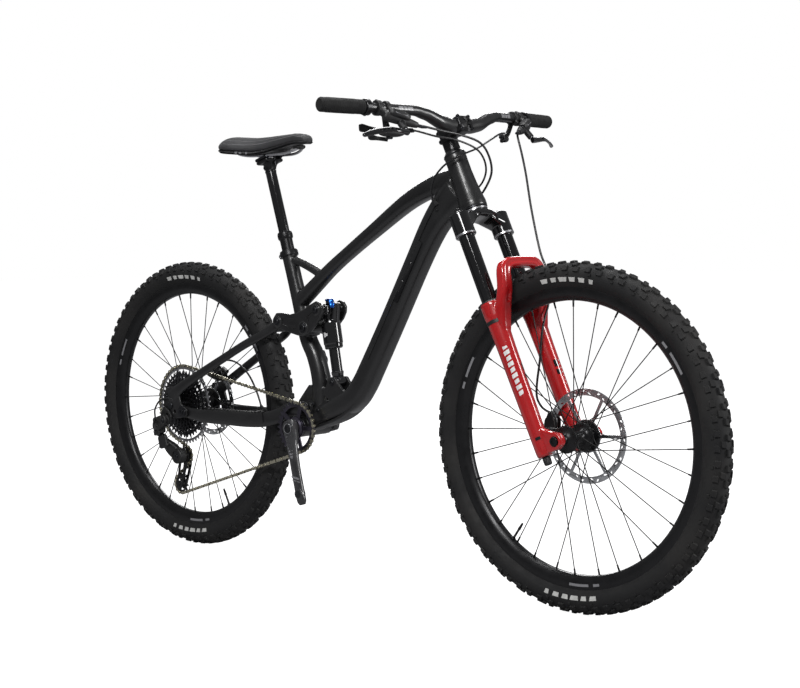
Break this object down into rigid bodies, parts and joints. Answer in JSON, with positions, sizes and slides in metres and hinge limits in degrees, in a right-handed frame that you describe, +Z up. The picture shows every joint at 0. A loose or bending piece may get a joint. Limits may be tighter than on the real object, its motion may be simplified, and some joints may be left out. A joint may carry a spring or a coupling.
{
  "type": "mountain bike",
  "caption": "Full-suspension trail mountain bike with knobbly tyres, telescopic fork, four-bar rear linkage, disc brakes, dropper post and a single-chainring drivetrain.",
  "frame": {"origin": "on the ground, midway between the two axles, in the bike's middle plane", "axes": "+X forward, +Y to the rider's left, +Z up"},
  "size_m": [1.988, 0.773, 1.0891],
  "materials": {
    "frame_paint": "satin black paint over aluminium",
    "gloss_black": "gloss black anodised metal",
    "dark_alloy": "dark anodised, satin",
    "steel": "brushed",
    "chain_steel": "nickel plated, worn",
    "tyre_rubber": "matte black rubber",
    "grip_rubber": "matte black rubber",
    "red_paint": "gloss red paint over magnesium",
    "black_plastic": "matte black",
    "black_alloy": "satin black anodised",
    "saddle_cover": "matte synthetic cover",
    "blue_alloy": "blue anodised"
  },
  "bodies": {
    "frame": {"main_frame": "frame_paint", "seat_clamp": "black_alloy", "dropper_outer": "black_alloy", "chain": "chain_steel"},
    "seat": {"dropper_inner": "gloss_black", "saddle_rails": "steel", "saddle": "saddle_cover"},
    "steering": {"crown_steerer": "gloss_black", "stanchion_right": "gloss_black", "stanchion_left": "gloss_black", "stem": "black_alloy", "headset_spacer": "black_alloy", "stem_faceplate": "black_alloy", "handlebar": "black_alloy", "grip_right": "grip_rubber", "grip_left": "grip_rubber", "brake_body_right": "black_plastic", "brake_body_left": "black_plastic", "shifter_body": "black_plastic", "dropper_remote_body": "black_plastic", "front_brake_hose": "black_plastic", "rear_brake_hose": "black_plastic", "shift_housing": "black_plastic", "dropper_housing": "black_plastic"},
    "right_brake_lever": {"brake_lever_right": "gloss_black"},
    "left_brake_lever": {"brake_lever_left": "gloss_black"},
    "thumb_lever": {"shift_thumb_lever": "black_plastic"},
    "trigger": {"shift_trigger": "black_plastic"},
    "post_lever": {"dropper_lever": "black_alloy"},
    "compression_knob": {"fork_compression_knob": "gloss_black"},
    "lowers": {"fork_lowers": "red_paint", "front_axle": "dark_alloy", "front_caliper": "black_alloy"},
    "rebound_knob": {"fork_rebound_knob": "black_plastic"},
    "front_wheel": {"front_tyre": "tyre_rubber", "front_rim": "black_alloy", "front_hub_and_spokes": "black_alloy", "front_rotor": "steel"},
    "lower_arm": {"chainstay": "frame_paint"},
    "upper_arm": {"seatstay": "frame_paint", "rear_axle": "dark_alloy", "rear_caliper": "black_alloy", "derailleur_body": "black_plastic"},
    "rear_wheel": {"rear_tyre": "tyre_rubber", "rear_rim": "black_alloy", "rear_hub_and_spokes": "black_alloy", "rear_rotor": "steel"},
    "cogs": {"cassette": "dark_alloy"},
    "derailleur_outer": {"derailleur_knuckle": "black_plastic"},
    "cage": {"derailleur_cage": "black_alloy"},
    "upper_jockey": {"jockey_wheel_upper": "black_plastic"},
    "lower_jockey": {"jockey_wheel_lower": "black_plastic"},
    "rocker": {"rocker_right": "frame_paint", "rocker_left": "frame_paint"},
    "shock_lower": {"shock_body": "gloss_black"},
    "shock_upper": {"shock_air_can": "gloss_black"},
    "lockout_lever": {"shock_lockout_lever": "blue_alloy"},
    "crankset": {"crank_arm_right": "dark_alloy", "crank_arm_left": "dark_alloy", "chainring": "dark_alloy"}
  },
  "joints": [
    {"name": "steering_turn", "type": "hinge", "parent": "frame", "child": "steering", "pos_m": [0.35114, 0, 0.85664], "axis": [-0.4147, 0, 0.91], "range_deg": [-70, 70], "deforming": ["rear_brake_hose", "shift_housing", "dropper_housing"]},
    {"name": "fork_travel", "type": "slide", "parent": "steering", "child": "lowers", "axis": [-0.4147, 0, 0.91], "range_m": [0, 0.15], "stiffness_N_per_m": 6000, "deforming": ["front_brake_hose"]},
    {"name": "front_wheel_spin", "type": "hinge", "parent": "lowers", "child": "front_wheel", "pos_m": [0.621, 0, 0.373], "axis": [0, 1, 0], "continuous": true},
    {"name": "compression_dial", "type": "hinge", "parent": "steering", "child": "compression_knob", "pos_m": [0.35685, -0.065, 0.85375], "axis": [-0.4147, 0, 0.91], "range_deg": [0, 90]},
    {"name": "rebound_dial", "type": "hinge", "parent": "lowers", "child": "rebound_knob", "pos_m": [0.5953, -0.065, 0.33052], "axis": [-0.4147, 0, 0.91], "range_deg": [0, 270]},
    {"name": "right_brake_pull", "type": "hinge", "parent": "steering", "child": "right_brake_lever", "pos_m": [0.34306, -0.214, 1.02478], "axis": [-0.7413, 0, -0.6712], "range_deg": [0, 18], "stiffness_Nm_per_rad": 0.6, "springref_deg": -17.19},
    {"name": "left_brake_pull", "type": "hinge", "parent": "steering", "child": "left_brake_lever", "pos_m": [0.34306, 0.214, 1.02478], "axis": [0.7413, 0, 0.6712], "range_deg": [0, 18], "stiffness_Nm_per_rad": 0.6, "springref_deg": -17.19},
    {"name": "thumb_shift", "type": "hinge", "parent": "steering", "child": "thumb_lever", "pos_m": [0.28901, -0.208, 1.02068], "axis": [0, 0, 1], "range_deg": [0, 17], "stiffness_Nm_per_rad": 0.3, "springref_deg": -17.19},
    {"name": "trigger_shift", "type": "hinge", "parent": "steering", "child": "trigger", "pos_m": [0.29322, -0.194, 1.01245], "axis": [0, 0, -1], "range_deg": [0, 15], "stiffness_Nm_per_rad": 0.3, "springref_deg": -17.19},
    {"name": "dropper_push", "type": "hinge", "parent": "steering", "child": "post_lever", "pos_m": [0.29439, 0.174, 1.02211], "axis": [0, 0, -1], "range_deg": [0, 25], "stiffness_Nm_per_rad": 0.3, "springref_deg": -17.19},
    {"name": "seat_drop", "type": "slide", "parent": "frame", "child": "seat", "axis": [0.2874, 0, -0.9578], "range_m": [0, 0.15], "stiffness_N_per_m": 600, "springref_m": -0.2},
    {"name": "rear_travel", "type": "hinge", "parent": "frame", "child": "lower_arm", "pos_m": [-0.16, 0, 0.392], "axis": [0, 1, 0], "range_deg": [0, 18.3], "stiffness_Nm_per_rad": 1200, "deforming": ["chain"]},
    {"name": "horst_pivot", "type": "hinge", "parent": "lower_arm", "child": "upper_arm", "pos_m": [-0.572, 0, 0.358], "axis": [0, 1, 0], "range_deg": [-8.5, 0]},
    {"name": "rear_wheel_spin", "type": "hinge", "parent": "upper_arm", "child": "rear_wheel", "pos_m": [-0.621, 0, 0.373], "axis": [0, 1, 0], "continuous": true},
    {"name": "cassette_spin", "type": "hinge", "parent": "upper_arm", "child": "cogs", "pos_m": [-0.621, 0, 0.373], "axis": [0, 1, 0], "continuous": true},
    {"name": "rocker_swing", "type": "hinge", "parent": "frame", "child": "rocker", "pos_m": [-0.154, 0, 0.586], "axis": [0, 1, 0], "range_deg": [0, 53.2]},
    {"name": "shock_swing", "type": "hinge", "parent": "frame", "child": "shock_lower", "pos_m": [-0.08, 0, 0.456], "axis": [0, 1, 0], "range_deg": [0, 6]},
    {"name": "shock_stroke", "type": "slide", "parent": "shock_lower", "child": "shock_upper", "axis": [0.169, 0, -0.9856], "range_m": [0, 0.055]},
    {"name": "lockout_turn", "type": "hinge", "parent": "shock_upper", "child": "lockout_lever", "pos_m": [-0.0953, -0.014, 0.65178], "axis": [-0.169, 0, 0.9856], "range_deg": [0, 60]},
    {"name": "crank_spin", "type": "hinge", "parent": "frame", "child": "crankset", "pos_m": [-0.177, 0, 0.344], "axis": [0, 1, 0], "continuous": true},
    {"name": "derailleur_shift", "type": "slide", "parent": "upper_arm", "child": "derailleur_outer", "axis": [0, -1, 0], "range_m": [0, 0.037], "stiffness_N_per_m": 60, "springref_m": -0.02},
    {"name": "cage_swing", "type": "hinge", "parent": "derailleur_outer", "child": "cage", "pos_m": [-0.622, 0, 0.238], "axis": [0, 1, 0], "range_deg": [0, 60], "stiffness_Nm_per_rad": 0.4, "springref_deg": -22.92},
    {"name": "upper_jockey_spin", "type": "hinge", "parent": "cage", "child": "upper_jockey", "pos_m": [-0.622, 0, 0.238], "axis": [0, 1, 0], "continuous": true},
    {"name": "lower_jockey_spin", "type": "hinge", "parent": "cage", "child": "lower_jockey", "pos_m": [-0.641, 0, 0.16], "axis": [0, 1, 0], "continuous": true}
  ],
  "couplings": [
    {"joint": "horst_pivot", "follows": "rear_travel", "ratio": -0.46},
    {"joint": "rocker_swing", "follows": "rear_travel", "ratio": 2.9},
    {"joint": "shock_swing", "follows": "rear_travel", "ratio": 0.323},
    {"joint": "shock_stroke", "follows": "rear_travel", "m_per_rad": 0.1702},
    {"joint": "cassette_spin", "follows": "crank_spin", "ratio": 0.6},
    {"joint": "upper_jockey_spin", "follows": "crank_spin", "ratio": -2.5},
    {"joint": "lower_jockey_spin", "follows": "crank_spin", "ratio": 2.5}
  ]
}
